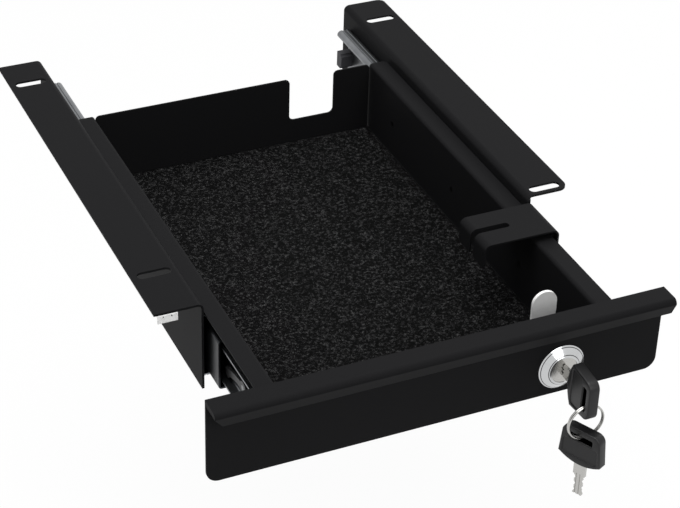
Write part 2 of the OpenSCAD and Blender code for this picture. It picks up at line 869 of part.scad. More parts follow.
// Fills the lip's section at its ends
module lip_end_section() {
  polygon([[lip_mid, panel_head - lip_mid], [lip_nose[0], panel_head - lip_mid],
           lip_front, lip_low, lip_end]);
  translate(lip_nose) intersection() {
    circle(lip_nose_r - lip_mid);
    translate([-lip_nose_r, 0]) square(lip_nose_r);
  }
}

// The left end slants in, from the nose down to the foot
module lip_mitre_waste() {
  x0 = -panel_w / 2;
  foot = lip_foot - panel_t - over;
  along_y(-lip_out - over, panel_t + over) polygon([
    [x0 - over, lip_nose[1]], [x0, lip_nose[1]], [x0 + lip_mitre, lip_foot],
    [x0 + lip_mitre, foot], [x0 - over, foot]
  ]);
}

module front_panel() {
  color([0.13, 0.13, 0.13]) on_drawer() difference() {
    union() {
      along_x(-panel_w / 2, panel_w / 2)
        translate([0, panel_foot]) square([panel_t, panel_h]);
      along_x(panel_w / 2 - lip_end_t, panel_w / 2) lip_end_section();
      difference() {
        union() {
          along_x(-panel_w / 2, panel_w / 2) lip_section();
          along_x(-panel_w / 2, -panel_w / 2 + lip_mitre + lip_end_t)
            lip_end_section();
        }
        lip_mitre_waste();
      }
    }
    for (m = [0, 1]) mirror([m, 0, 0])
      translate([panel_w / 2, -over, panel_foot]) rotate([-90, 0, 0])
        corner_waste(panel_corner_r, panel_t + 2 * over);
    at_lock() translate([0, -over, 0]) rotate([-90, 0, 0])
      cylinder(d = barrel_d + 2 * fit_gap, h = panel_t + 2 * over);
  }
}

module felt_liner() {
  half = drawer_in - felt_gap;
  y0 = panel_t + drawer_t + felt_gap;
  y1 = drawer_d - drawer_t - felt_gap;
  color([0.2, 0.2, 0.2]) on_drawer()
    translate([-half, y0, floor_top]) cube([2 * half, y1 - y0, felt_t]);
}

// Lock, with y = 0 on the panel's face
module lock_housing() {
  color([0.8, 0.8, 0.8]) on_drawer() at_lock() rotate([-90, 0, 0])
    rotate_extrude($fn = 96) polygon([
      [plug_r + fit_gap, fit_gap - plug_seat],
      [plug_face_r + fit_gap, fit_gap - plug_seat],
      [plug_face_r + fit_gap, -bezel_h],
      [plug_face_r + bezel_top_w, -bezel_h],
      [bezel_r, -bezel_edge], [bezel_r, 0],
      [barrel_d / 2, 0], [barrel_d / 2, barrel_back],
      [plug_r + fit_gap, barrel_back]
    ]);
}

module lock_nut() {
  y0 = panel_t + drawer_t;
  color([0.6, 0.6, 0.6]) on_drawer() at_lock() translate([0, y0, 0])
    rotate([-90, 0, 0]) difference() {
      intersection() {
        cylinder(d = nut_af / cos(30), h = nut_t, $fn = 6);
        cylinder(d = nut_af + (nut_af / cos(30) - nut_af) / 2, h = nut_t);
      }
      translate([0, 0, -over])
        cylinder(d = barrel_d + 2 * fit_gap, h = nut_t + 2 * over);
    }
}

module lock_plug() {
  keyway_l = blade_l - stop_gap + keyway_end_gap;
  color([0.75, 0.75, 0.75]) on_drawer() at_lock() rotate([-90, 0, 0]) difference() {
    union() {
      translate([0, 0, -plug_face])
        cylinder(r = plug_r, h = plug_back + plug_face);
      translate([0, 0, -plug_face])
        cylinder(r = plug_face_r, h = plug_face_t);
      // collar that keeps the plug in the barrel
      translate([0, 0, barrel_back + fit_gap])
        cylinder(r = collar_r, h = plug_back - barrel_back - fit_gap);
      // square spigot for the cam
      translate([-spigot_w / 2, -spigot_w / 2, plug_back])
        cube([spigot_w, spigot_w, cam_t + spigot_over]);
    }
    translate([-blade_t / 2 - key_gap, -blade_h / 2 - key_gap, -plug_face - over])
      cube([blade_t + 2 * key_gap, blade_h + 2 * key_gap, keyway_l + over]);
    translate([0, 0, cam_back + spigot_over - cam_screw_l])
      cylinder(r = cam_screw_r + fit_gap, h = cam_screw_l + over);
  }
}

module lock_cam() {
  color([0.85, 0.85, 0.85]) on_drawer() at_lock() translate([0, cam_back, 0])
    rotate([90, 0, 0]) linear_extrude(cam_t) difference() {
      union() {
        circle(cam_w / 2);
        translate([-cam_w / 2, 0]) square([cam_w, cam_len - cam_tip_r]);
        translate([0, cam_len - cam_tip_r]) circle(cam_tip_r);
      }
      square(spigot_w + 2 * fit_gap, center = true);
    }
}

module cam_screw() {
  y0 = cam_back + spigot_over;
  color([0.7, 0.7, 0.7]) on_drawer() at_lock() rotate([-90, 0, 0]) {
    translate([0, 0, y0]) cylinder(r = cam_head_r, h = cam_head_h);
    translate([0, 0, y0 - cam_screw_l + fit_gap])
      cylinder(r = cam_screw_r, h = cam_screw_l);
  }
}

// Keys, with the blade's tip towards +Y and the width along Z
module blade() {
  tip = blade_l;
  color([0.75, 0.75, 0.75]) difference() {
    union() {
      translate([-blade_t / 2, 0, -blade_h / 2]) cube([blade_t, blade_l, blade_h]);
      translate([-blade_t / 2, -neck_l, -neck_h / 2])
        cube([blade_t, neck_l, neck_h]);
      translate([-blade_t / 2, -neck_l - tang_l, -tang_h / 2])
        cube([blade_t, tang_l, tang_h]);
    }
    // bitting on both edges
    for (i = [0 : len(cut_shares) - 1]) {
      translate([-blade_t, cut_shares[i] * blade_l,
                 blade_h / 2 + cut_r * (1 - cut_top_shares[i])])
        rotate([0, 90, 0]) cylinder(r = cut_r, h = 2 * blade_t);
      translate([-blade_t, cut_shares[i] * blade_l,
                 -blade_h / 2 - cut_r * (1 - cut_low_shares[i])])
        rotate([0, 90, 0]) cylinder(r = cut_r, h = 2 * blade_t);
    }
    // pointed tip
    for (s = [-1, 1])
      translate([-blade_t, tip, s * blade_h / 2]) rotate([s * 45, 0, 0])
        cube([2 * blade_t, 2 * tip_chamfer, 2 * tip_chamfer / sqrt(2)], center = false);
    // lengthwise grooves
    for (s = groove_shares, f = [-1, 1])
      translate([f * blade_t / 2 - groove_d, -over, s * blade_h - groove_h / 2])
        cube([2 * groove_d, blade_l + 2 * over, groove_h]);
  }
}

module head() {
  back = -neck_l;
  color([0.2, 0.2, 0.2]) difference() {
    translate([-head_t / 2, 0, 0]) rotate([90, 0, 90]) linear_extrude(head_t)
      intersection() {
        hull() for (s = [-1, 1]) {
          translate([back - head_l + head_r, s * (head_end_share * head_w / 2 - head_r)])
            circle(head_r);
          translate([back, s * (head_w / 2 - head_side_r)]) circle(head_side_r);
        }
        // the edge towards the blade is bowed
        translate([back - bow_r, 0]) circle(bow_r, $fn = 96);
      }
    // slot for the ring
    translate([-head_t / 2 - over, back - head_l + bow_rim, -bow_slot_l / 2])
      cube([head_t + 2 * over, bow_slot_w, bow_slot_l]);
    // sunk panel on both faces, left bare
    for (f = [-1, 1])
      translate([f * head_t / 2 - panel_sink,
                 back - head_l + bow_rim + bow_slot_w + panel_inset / 2,
                 -head_w / 2 + panel_inset])
        cube([2 * panel_sink,
              head_l - bow_rim - bow_slot_w - panel_inset - bow_land,
              head_w - 2 * panel_inset]);
    // socket for the blade's tang
    translate([-blade_t / 2 - fit_gap, -neck_l - tang_l - fit_gap,
               -tang_h / 2 - fit_gap])
      cube([blade_t + 2 * fit_gap, tang_l + 2 * over, tang_h + 2 * fit_gap]);
  }
}

// The ring hangs in the inserted key's slot; the spare hangs in the ring
bow_slot_y = -neck_l - head_l + bow_rim + bow_slot_w / 2;
ring_y = -key_stop + bow_slot_y;
ring_top_in = sqrt(pow(ring_in, 2) - pow(head_t / 2, 2));
ring_z = lock_z - bow_slot_l / 2 + ring_rest - ring_top_in;
spare_run = head_t / 2 / cos(spare_turn) + ring_half * tan(spare_turn);
spare_slot_top = ring_z - sqrt(pow(ring_in, 2) - pow(spare_run, 2)) + ring_rest;

module inserted_key() {
  on_drawer() at_lock() translate([0, -key_stop, 0]) children();
}

module hanging_key() {
  on_drawer() translate([lock_x, ring_y, spare_slot_top - bow_slot_w / 2])
    rotate([0, 0, spare_turn]) rotate([-90, 0, 0])
      translate([0, -bow_slot_y, 0]) children();
}

module key_blade() { inserted_key() blade(); }
module key_head() { inserted_key() head(); }
module spare_key_blade() { hanging_key() blade(); }
module spare_key_head() { hanging_key() head(); }

// Two turns of wire, side by side
module split_ring() {
  wire_r = ring_wire / 2;
  color([0.75, 0.75, 0.75]) on_drawer() translate([lock_x, ring_y, ring_z])
    rotate([90, 0, 0]) for (s = [-1, 1])
      translate([0, 0, s * (wire_r - turn_lap / 2)])
        rotate_extrude($fn = 96) translate([ring_r - wire_r, 0]) circle(wire_r);
}

left_bracket();
right_bracket();
strike_plate();
strike_rivets();
flange_clip();
left_outer_rail();
right_outer_rail();
left_rail_bumper();
right_rail_bumper();
rail_rivets();
left_middle_rail();
right_middle_rail();
left_outer_cage();
right_outer_cage();
left_inner_cage();
right_inner_cage();
left_outer_balls();
right_outer_balls();
left_inner_balls();
right_inner_balls();
left_drawer_rail();
right_drawer_rail();
drawer_rail_screws();
left_release_lever();
right_release_lever();
drawer_tray();
drawer_back_wall();
drawer_front_wall();
front_panel();
felt_liner();
lock_housing();
lock_nut();
lock_plug();
lock_cam();
cam_screw();
key_blade();
key_head();
split_ring();
spare_key_blade();
spare_key_head();
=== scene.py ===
# %% [markdown]
# Under-desk drawer safe. A black sheet-steel drawer runs on two ball
# slides between folded brackets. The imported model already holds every
# rigid piece at its real size and place, so this lesson gives each of
# them its finish and makes the few pieces that need more than a solid
# can hold: a soft-edged felt liner, moulded key heads and a wound ring.

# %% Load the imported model
import math

import bmesh
import bpy
from mathutils import Matrix, Vector, noise


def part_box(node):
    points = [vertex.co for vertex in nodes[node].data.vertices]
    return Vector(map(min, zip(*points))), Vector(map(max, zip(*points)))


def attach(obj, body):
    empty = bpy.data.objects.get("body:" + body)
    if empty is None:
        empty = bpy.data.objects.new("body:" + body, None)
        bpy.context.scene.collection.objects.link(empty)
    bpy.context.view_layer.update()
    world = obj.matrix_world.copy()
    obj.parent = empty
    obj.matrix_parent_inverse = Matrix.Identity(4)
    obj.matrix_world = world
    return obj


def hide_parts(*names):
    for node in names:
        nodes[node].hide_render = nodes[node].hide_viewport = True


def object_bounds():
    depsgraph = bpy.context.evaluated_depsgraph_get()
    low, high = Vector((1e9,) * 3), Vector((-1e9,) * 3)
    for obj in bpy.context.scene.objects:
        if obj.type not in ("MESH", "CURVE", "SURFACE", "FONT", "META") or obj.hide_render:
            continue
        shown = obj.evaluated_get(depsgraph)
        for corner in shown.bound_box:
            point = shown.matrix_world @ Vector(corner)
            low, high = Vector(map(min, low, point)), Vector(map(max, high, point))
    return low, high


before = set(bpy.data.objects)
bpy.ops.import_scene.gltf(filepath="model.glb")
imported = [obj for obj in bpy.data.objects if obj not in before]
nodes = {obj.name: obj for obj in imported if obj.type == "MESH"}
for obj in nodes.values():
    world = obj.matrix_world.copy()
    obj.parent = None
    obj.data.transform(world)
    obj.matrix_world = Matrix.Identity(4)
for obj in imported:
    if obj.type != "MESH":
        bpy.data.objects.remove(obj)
cad_box = [list(corner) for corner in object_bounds()]
print("pieces in the packed model:", len(nodes))

# %% Units and named colours
MM = 0.001


def linear(hex_colour):
    """Turns an sRGB hex colour such as '#2b2b2b' to Blender's linear RGBA."""
    values = [int(hex_colour[i:i + 2], 16) / 255 for i in (1, 3, 5)]
    return [v / 12.92 if v <= 0.04045 else ((v + 0.055) / 1.055) ** 2.4 for v in values] + [1.0]


# %% [markdown]
# The photograph looks down on the drawer from its left front, from about
# 1.4 m away with a long lens. The camera is a place, three angles and a
# focal length, so it is written as those numbers and turned to a matrix.

# %% Camera
CAMERA_PLACE = Vector((-469.8, -1106.1, 708.7)) * MM
CAMERA_YAW = math.radians(25.12)
CAMERA_PITCH = math.radians(33.86)
CAMERA_ROLL = math.radians(1.91)
LENS_MM = 108.83
SENSOR_MM = 36.0


def make_camera():
    forward = Vector((math.sin(CAMERA_YAW) * math.cos(CAMERA_PITCH),
                      math.cos(CAMERA_YAW) * math.cos(CAMERA_PITCH),
                      -math.sin(CAMERA_PITCH)))
    level = Vector((math.cos(CAMERA_YAW), -math.sin(CAMERA_YAW), 0))
    up = level.cross(forward)
    right = level * math.cos(CAMERA_ROLL) + up * math.sin(CAMERA_ROLL)
    up = right.cross(forward)
    data = bpy.data.cameras.new("camera")
    data.lens = LENS_MM
    data.sensor_width = SENSOR_MM
    data.sensor_fit = "HORIZONTAL"
    data.clip_end = 50
    camera = bpy.data.objects.new("camera", data)
    turn = Matrix((right, up, -forward)).transposed().to_4x4()
    camera.matrix_world = Matrix.Translation(CAMERA_PLACE) @ turn
    bpy.context.collection.objects.link(camera)
    bpy.context.scene.camera = camera


make_camera()
print("camera", round(CAMERA_PLACE.length, 3), "m from the origin")

# %% [markdown]
# A material is a chain of nodes. One helper adds a node, sets its
# values and joins its inputs, so that each finish below reads as a
# short list of what feeds what.


# %% Helpers for materials
def add(tree, kind, values=None, links=None, **settings):
    """Adds a node. values sets sockets, links joins them to other sockets."""
    made = tree.nodes.new(kind)
    for name, value in settings.items():
        setattr(made, name, value)
    for key, value in (values or {}).items():
        made.inputs[key].default_value = value
    for key, socket in (links or {}).items():
        tree.links.new(socket, made.inputs[key])
    return made


def new_material(name, colour, roughness, metallic=0.0, **sockets):
    """A material with one Principled shader; returns it, its tree and shader."""
    material = bpy.data.materials.new(name)
    material.use_nodes = True
    tree = material.node_tree
    tree.nodes.clear()
    output = tree.nodes.new("ShaderNodeOutputMaterial")
    shader = tree.nodes.new("ShaderNodeBsdfPrincipled")
    shader.inputs["Base Color"].default_value = linear(colour)
    shader.inputs["Roughness"].default_value = roughness
    shader.inputs["Metallic"].default_value = metallic
    for key, value in sockets.items():
        shader.inputs[key.replace("_", " ")].default_value = value
    tree.links.new(shader.outputs[0], output.inputs[0])
    return material, tree, shader


def object_place(tree):
    """The surface point in metres: every node's object sits at the origin."""
    return add(tree, "ShaderNodeTexCoord").outputs["Object"]


def sees_background(tree):
    """1 for rays of the camera, of mirror images and through glass, else 0."""
    path = add(tree, "ShaderNodeLightPath")
    seen = add(tree, "ShaderNodeMath", {}, {0: path.outputs["Is Camera Ray"],
                                            1: path.outputs["Is Glossy Ray"]},
               operation="MAXIMUM")
    return add(tree, "ShaderNodeMath", {}, {0: seen.outputs[0],
                                            1: path.outputs["Is Transmission Ray"]},
               operation="MAXIMUM").outputs[0]


# %% [markdown]
# Powder coat is dry paint, sprayed as charged dust and baked. It gives a
# deep matt black with a fine orange peel: soft bumps about a
# millimetre and a half across. A finer grain breaks up the gloss.
# The peel's scale is one bump per PEEL_MM. Most of what the eye sees of
# so dark a paint is its weak mirror image of the room, so the specular
# level is set below the default, as the photograph's even tones ask.

# %% Black powder coat
PEEL_MM = 1.4
GRAIN_MM = 0.35


def black_powder_coat():
    material, tree, shader = new_material("black_powder_coat", "#171718", 0.5,
                                          Specular_IOR_Level=0.03)
    place = object_place(tree)
    peel = add(tree, "ShaderNodeTexNoise", {"Scale": 1 / (PEEL_MM * MM), "Detail": 1.0},
               {"Vector": place})
    grain = add(tree, "ShaderNodeTexNoise", {"Scale": 1 / (GRAIN_MM * MM), "Detail": 2.0},
                {"Vector": place})
    rough = add(tree, "ShaderNodeMapRange", {"To Min": 0.46, "To Max": 0.58},
                {"Value": grain.outputs["Fac"]})
    bump = add(tree, "ShaderNodeBump", {"Strength": 0.25, "Distance": 0.03 * MM},
               {"Height": peel.outputs["Fac"]})
    fine = add(tree, "ShaderNodeBump", {"Strength": 0.3, "Distance": 0.015 * MM},
               {"Height": grain.outputs["Fac"], "Normal": bump.outputs[0]})
    tree.links.new(rough.outputs[0], shader.inputs["Roughness"])
    tree.links.new(fine.outputs[0], shader.inputs["Normal"])
    return material


POWDER_COAT = black_powder_coat()
print("made", POWDER_COAT.name)

# %% [markdown]
# The rails are roll-formed from zinc-plated strip. Rolling leaves faint
# lines along the rail, so the noise is squeezed across Y and stretched
# along it, with a soft mottling from the plating bath on top. The tone
# is matched to the photograph and is darker than fresh zinc. The middle
# rails get a much darker copy of the same zinc, which is painted shade
# for the dark they sit in between bracket and drawer.

# %% Zinc-plated steel
ROLL_LINE_MM = 0.5
ROLL_STRETCH = 60
BATH_MM = 9.0


def zinc_plated_steel(name, low, high):
    material, tree, shader = new_material(name, low, 0.34, 1.0)
    place = object_place(tree)
    along = add(tree, "ShaderNodeMapping", {"Scale": (1, 1 / ROLL_STRETCH, 1)},
                {"Vector": place})
    lines = add(tree, "ShaderNodeTexNoise", {"Scale": 1 / (ROLL_LINE_MM * MM), "Detail": 3.0},
                {"Vector": along.outputs[0]})
    bath = add(tree, "ShaderNodeTexNoise", {"Scale": 1 / (BATH_MM * MM), "Detail": 4.0},
               {"Vector": place})
    colour = add(tree, "ShaderNodeMix",
                 {"A": linear(low), "B": linear(high)},
                 {"Factor": bath.outputs["Fac"]}, data_type="RGBA")
    rough = add(tree, "ShaderNodeMapRange", {"To Min": 0.26, "To Max": 0.42},
                {"Value": lines.outputs["Fac"]})
    bump = add(tree, "ShaderNodeBump", {"Strength": 0.3, "Distance": 0.02 * MM},
               {"Height": lines.outputs["Fac"]})
    tree.links.new(colour.outputs["Result"], shader.inputs["Base Color"])
    tree.links.new(rough.outputs[0], shader.inputs["Roughness"])
    tree.links.new(bump.outputs[0], shader.inputs["Normal"])
    return material


ZINC = zinc_plated_steel("zinc_plated_steel", "#66686b", "#87898b")
# The middle rails' darker copy is painted shade, not a different finish.
SHADE_DARKENED_ZINC = zinc_plated_steel("shade_darkened_zinc_plated_steel", "#26272a", "#36383a")
print("made", ZINC.name, "and", SHADE_DARKENED_ZINC.name)

# %% [markdown]
# The balls are hardened steel, ground and polished, so they mirror what
# is round them. Only a trace of unevenness in the gloss is left.

# %% Polished ball steel
POLISH_MM = 0.4


def polished_ball_steel():
    material, tree, shader = new_material("polished_ball_steel", "#c9c9c8", 0.12, 1.0)
    haze = add(tree, "ShaderNodeTexNoise", {"Scale": 1 / (POLISH_MM * MM), "Detail": 2.0},
               {"Vector": object_place(tree)})
    rough = add(tree, "ShaderNodeMapRange", {"To Min": 0.08, "To Max": 0.18},
                {"Value": haze.outputs["Fac"]})
    tree.links.new(rough.outputs[0], shader.inputs["Roughness"])
    return material


BALL_STEEL = polished_ball_steel()
print("made", BALL_STEEL.name)

# %% [markdown]
# The ball cages are steel with a dark passivated zinc layer. It is dull
# and slightly blotchy, so a coarse noise shifts both its tone and its
# gloss. The rails' screws are blackened. The rivets are painted with the
# brackets, as no head shows in the photograph.

# %% Dark passivated steel
BLOTCH_MM = 3.0


def blotchy_dark_steel(name, low, high):
    material, tree, shader = new_material(name, low, 0.42, 1.0)
    blotch = add(tree, "ShaderNodeTexNoise", {"Scale": 1 / (BLOTCH_MM * MM), "Detail": 5.0},
                 {"Vector": object_place(tree)})
    colour = add(tree, "ShaderNodeMix",
                 {"A": linear(low), "B": linear(high)},
                 {"Factor": blotch.outputs["Fac"]}, data_type="RGBA")
    rough = add(tree, "ShaderNodeMapRange", {"To Min": 0.35, "To Max": 0.55},
                {"Value": blotch.outputs["Fac"]})
    tree.links.new(colour.outputs["Result"], shader.inputs["Base Color"])
    tree.links.new(rough.outputs[0], shader.inputs["Roughness"])
    return material


DARK_STEEL = blotchy_dark_steel("dark_passivated_steel", "#4b4b4e", "#6c6b69")
BLACKENED = blotchy_dark_steel("blackened_steel", "#111112", "#171718")
print("made", DARK_STEEL.name, "and", BLACKENED.name)

# %% [markdown]
# Two small mouldings sit in the slides: a rubber stop at the back and a
# black acetal lever at the front. Rubber scatters light and shows dust,
# acetal has the faint sheen of an eroded mould.

# %% Moulded rubber and acetal
DUST_MM = 0.8
EROSION_MM = 0.15


def moulded(name, low, high, roughness, grain_mm, depth_mm):
    material, tree, shader = new_material(name, low, roughness)
    place = object_place(tree)
    grain = add(tree, "ShaderNodeTexNoise", {"Scale": 1 / (grain_mm * MM), "Detail": 3.0},
                {"Vector": place})
    colour = add(tree, "ShaderNodeMix", {"A": linear(low), "B": linear(high)},
                 {"Factor": grain.outputs["Fac"]}, data_type="RGBA")
    bump = add(tree, "ShaderNodeBump", {"Strength": 0.4, "Distance": depth_mm * MM},
               {"Height": grain.outputs["Fac"]})
    tree.links.new(colour.outputs["Result"], shader.inputs["Base Color"])
    tree.links.new(bump.outputs[0], shader.inputs["Normal"])
    return material


RUBBER = moulded("moulded_rubber", "#2c2c2f", "#3d3d41", 0.75, DUST_MM, 0.02)
ACETAL = moulded("moulded_acetal", "#151516", "#222223", 0.45, EROSION_MM, 0.01)
print("made", RUBBER.name, "and", ACETAL.name)

# %% [markdown]
# The lock's bezel is turned from zinc alloy and chrome plated. Turning
# leaves rings round its axis too fine to count, so the noise is read
# along the distance from that axis. The plating shines over them. Two
# thin dark rings are painted shade for two shallow grooves: the shade in
# a line this thin is easier to draw as colour than to cut as a groove.

# %% Turned and chromed zinc alloy
LOCK_X_MM = 81.0
LOCK_Z_MM = -42.89
TURNING_MM = 0.25
GROOVES_MM = (10.7, 14.7)
GROOVE_HALF_MM = 0.22
CHROME_TONE = "#c3c4c5"
GROOVE_SHADE_TONE = "#4a4a4b"


def turned_chrome():
    material, tree, shader = new_material("turned_chrome_plate", CHROME_TONE, 0.12, 1.0)
    place = object_place(tree)
    flat = add(tree, "ShaderNodeMapping",
               {"Location": (-LOCK_X_MM * MM, 0, -LOCK_Z_MM * MM), "Scale": (1, 0, 1)},
               {"Vector": place})
    radius = add(tree, "ShaderNodeVectorMath", links={0: flat.outputs[0]}, operation="LENGTH")
    rings = add(tree, "ShaderNodeTexNoise", {"Scale": 1 / (TURNING_MM * MM), "Detail": 2.0},
                {"W": radius.outputs["Value"]}, noise_dimensions="1D")
    # Thin rings of painted shade at the radii of the two grooves.
    inner, outer = [add(tree, "ShaderNodeMath", {1: groove * MM, 2: GROOVE_HALF_MM * MM},
                        {0: radius.outputs["Value"]}, operation="COMPARE")
                    for groove in GROOVES_MM]
    groove_shade = add(tree, "ShaderNodeMath", {}, {0: inner.outputs[0], 1: outer.outputs[0]},
                  operation="MAXIMUM")
    colour = add(tree, "ShaderNodeMix", {"A": linear(CHROME_TONE), "B": linear(GROOVE_SHADE_TONE)},
                 {"Factor": groove_shade.outputs[0]}, data_type="RGBA")
    tree.links.new(colour.outputs["Result"], shader.inputs["Base Color"])
    rough = add(tree, "ShaderNodeMapRange", {"To Min": 0.08, "To Max": 0.2},
                {"Value": rings.outputs["Fac"]})
    bump = add(tree, "ShaderNodeBump", {"Strength": 0.15, "Distance": 0.01 * MM},
               {"Height": rings.outputs["Fac"]})
    tree.links.new(rough.outputs[0], shader.inputs["Roughness"])
    tree.links.new(bump.outputs[0], shader.inputs["Normal"])
    return material


CHROME = turned_chrome()
print("made", CHROME.name)

# %% [markdown]
# Plug, blades and ring are cut or wound steel, tumbled and nickel
# plated. Nickel is warmer and a little softer than chrome, and tumbling
# leaves fine scratches. Its tone is set darker than nickel's own, so that
# blades and ring stand out from the white room they mirror.

# %% Tumbled nickel plate
SCRATCH_MM = 0.12
SCRATCH_SQUEEZE = 0.06
HAZE_MM = 4.0


def tumbled_nickel(name, colour, low, high):
    material, tree, shader = new_material(name, colour, (low + high) / 2, 1.0)
    place = object_place(tree)
    across = add(tree, "ShaderNodeMapping", {"Scale": (1, 1, SCRATCH_SQUEEZE)},
                 {"Vector": place})
    scratch = add(tree, "ShaderNodeTexNoise",
                  {"Scale": 1 / (SCRATCH_MM * MM), "Detail": 3.0, "Distortion": 0.6},
                  {"Vector": across.outputs[0]})
    cloud = add(tree, "ShaderNodeTexNoise", {"Scale": 1 / (HAZE_MM * MM), "Detail": 3.0},
                {"Vector": place})
    rough = add(tree, "ShaderNodeMapRange", {"To Min": low, "To Max": high},
                {"Value": cloud.outputs["Fac"]})
    bump = add(tree, "ShaderNodeBump", {"Strength": 0.2, "Distance": 0.01 * MM},
               {"Height": scratch.outputs["Fac"]})
    tree.links.new(rough.outputs[0], shader.inputs["Roughness"])
    tree.links.new(bump.outputs[0], shader.inputs["Normal"])
    return material


NICKEL = tumbled_nickel("tumbled_nickel_plate", "#b8b7b4", 0.16, 0.3)
print("made", NICKEL.name)

# %% [markdown]
# The cam and the clip are stamped and come out of the plating bath matt:
# the deposit is so rough that it scatters much of the light instead of
# mirroring it. A shader with only a small metallic share stands in for
# that scatter.

# %% Matt stamped plate
MATT_GRAIN_MM = 0.25
MATT_METAL_SHARE = 0.15


def matt_plate():
    material, tree, shader = new_material("matt_stamped_plate", "#dcdcdb", 0.5,
                                          MATT_METAL_SHARE)
    place = object_place(tree)
    grain = add(tree, "ShaderNodeTexNoise", {"Scale": 1 / (MATT_GRAIN_MM * MM), "Detail": 3.0},
                {"Vector": place})
    cloud = add(tree, "ShaderNodeTexNoise", {"Scale": 1 / (BLOTCH_MM * MM), "Detail": 2.0},
                {"Vector": place})
    colour = add(tree, "ShaderNodeMix", {"A": linear("#e6e6e5"), "B": linear("#f4f4f3")},
                 {"Factor": cloud.outputs["Fac"]}, data_type="RGBA")
    bump = add(tree, "ShaderNodeBump", {"Strength": 0.3, "Distance": 0.01 * MM},
               {"Height": grain.outputs["Fac"]})
    tree.links.new(colour.outputs["Result"], shader.inputs["Base Color"])
    tree.links.new(bump.outputs[0], shader.inputs["Normal"])
    return material


MATT_PLATE = matt_plate()
print("made", MATT_PLATE.name)

# %% [markdown]
# The key heads are ABS, moulded round the blade's tang in an eroded
# mould. ABS is a little glossy, and the erosion breaks the highlight
# up into a fine grain.

# %% Moulded ABS
ABS_GRAIN_MM = 0.3


def moulded_abs():
    material, tree, shader = new_material("moulded_abs", "#141415", 0.4,
                                          Specular_IOR_Level=0.3)
    grain = add(tree, "ShaderNodeTexNoise", {"Scale": 1 / (ABS_GRAIN_MM * MM), "Detail": 3.0},
                {"Vector": object_place(tree)})
    rough = add(tree, "ShaderNodeMapRange", {"To Min": 0.34, "To Max": 0.5},
                {"Value": grain.outputs["Fac"]})
    bump = add(tree, "ShaderNodeBump", {"Strength": 0.3, "Distance": 0.02 * MM},
               {"Height": grain.outputs["Fac"]})
    tree.links.new(rough.outputs[0], shader.inputs["Roughness"])
    tree.links.new(bump.outputs[0], shader.inputs["Normal"])
    return material


ABS = moulded_abs()
print("made", ABS.name)

# %% [markdown]
# Felt is needled from black and grey fibres, so it is speckled. The
# fibres are a few hundredths of a millimetre thick, too fine to see
# here: the speckle is drawn at the size of a small tuft instead.

# %% Needled felt
TUFT_MM = 2.2
FIBRE_MM = 0.7


def needled_felt():
    material, tree, shader = new_material("needled_felt", "#2b2b2c", 0.95,
                                          Specular_IOR_Level=0.05)
    place = object_place(tree)
    tuft = add(tree, "ShaderNodeTexNoise", {"Scale": 1 / (TUFT_MM * MM), "Detail": 3.0,
                                            "Roughness": 0.7}, {"Vector": place})
    fibre = add(tree, "ShaderNodeTexNoise", {"Scale": 1 / (FIBRE_MM * MM), "Detail": 2.0,
                                             "Distortion": 1.5}, {"Vector": place})
    both = add(tree, "ShaderNodeMath", {}, {0: tuft.outputs["Fac"], 1: fibre.outputs["Fac"]},
               operation="MULTIPLY")
    ramp = add(tree, "ShaderNodeValToRGB", {}, {"Fac": both.outputs[0]})
    stops = ramp.color_ramp.elements
    stops[0].position, stops[0].color = 0.2, linear("#030303")
    stops[1].position, stops[1].color = 0.4, linear("#464646")
    middle = stops.new(0.285)
    middle.color = linear("#0a0a0b")
    bump = add(tree, "ShaderNodeBump", {"Strength": 0.5, "Distance": 0.25 * MM},
               {"Height": tuft.outputs["Fac"]})
    tree.links.new(ramp.outputs[0], shader.inputs["Base Color"])
    tree.links.new(bump.outputs[0], shader.inputs["Normal"])
    return material


FELT = needled_felt()
print("made", FELT.name)

# %% [markdown]
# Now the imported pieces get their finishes. A table of finish against
# names is easier to check against the real drawer than single lines.

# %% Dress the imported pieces
FINISHES = [
    (POWDER_COAT, ["left_bracket", "right_bracket", "strike_plate", "strike_rivets", "rail_rivets",
                   "drawer_tray", "drawer_back_wall", "drawer_front_wall", "front_panel"]),
    (ZINC, ["left_outer_rail", "right_outer_rail", "left_drawer_rail", "right_drawer_rail",
            "lock_nut"]),
    (SHADE_DARKENED_ZINC, ["left_middle_rail", "right_middle_rail"]),
    (BALL_STEEL, ["left_outer_balls", "right_outer_balls", "left_inner_balls",
                  "right_inner_balls"]),
    (DARK_STEEL, ["left_outer_cage", "right_outer_cage", "left_inner_cage",
                  "right_inner_cage"]),
    (BLACKENED, ["drawer_rail_screws"]),
    (RUBBER, ["left_rail_bumper", "right_rail_bumper"]),
    (ACETAL, ["left_release_lever", "right_release_lever"]),
    (CHROME, ["lock_housing"]),
    (NICKEL, ["lock_plug", "cam_screw", "key_blade", "spare_key_blade", "split_ring"]),
    (MATT_PLATE, ["lock_cam", "flange_clip"]),
    (FELT, ["felt_liner"]),
    (ABS, ["key_head", "spare_key_head"]),
]


def dress(piece, material):
    piece.data.materials.clear()
    piece.data.materials.append(material)
    for face in piece.data.polygons:
        face.material_index = 0


dressed = 0
for material, names in FINISHES:
    for name in names:
        dress(nodes[name], material)
        dressed += 1
print("dressed", dressed, "of", len(nodes))

# %% [markdown]
# The liner is a loose sheet of felt cut with shears, so its top is not
# quite flat and its edge is soft. A grid of points every few
# millimetres is lifted by smooth noise, a wide swell and a small ripple,
# and the outer rows bend down.

# %% Felt liner
FELT_GRID_MM = 2.6
FELT_WAVE_MM = 0.25
FELT_EDGE_MM = 1.3
FELT_DROP_SHARE = 0.6
SWELL_MM = 14.0
RIPPLE_MM = 4.0
SWELL_SHARE = 0.6


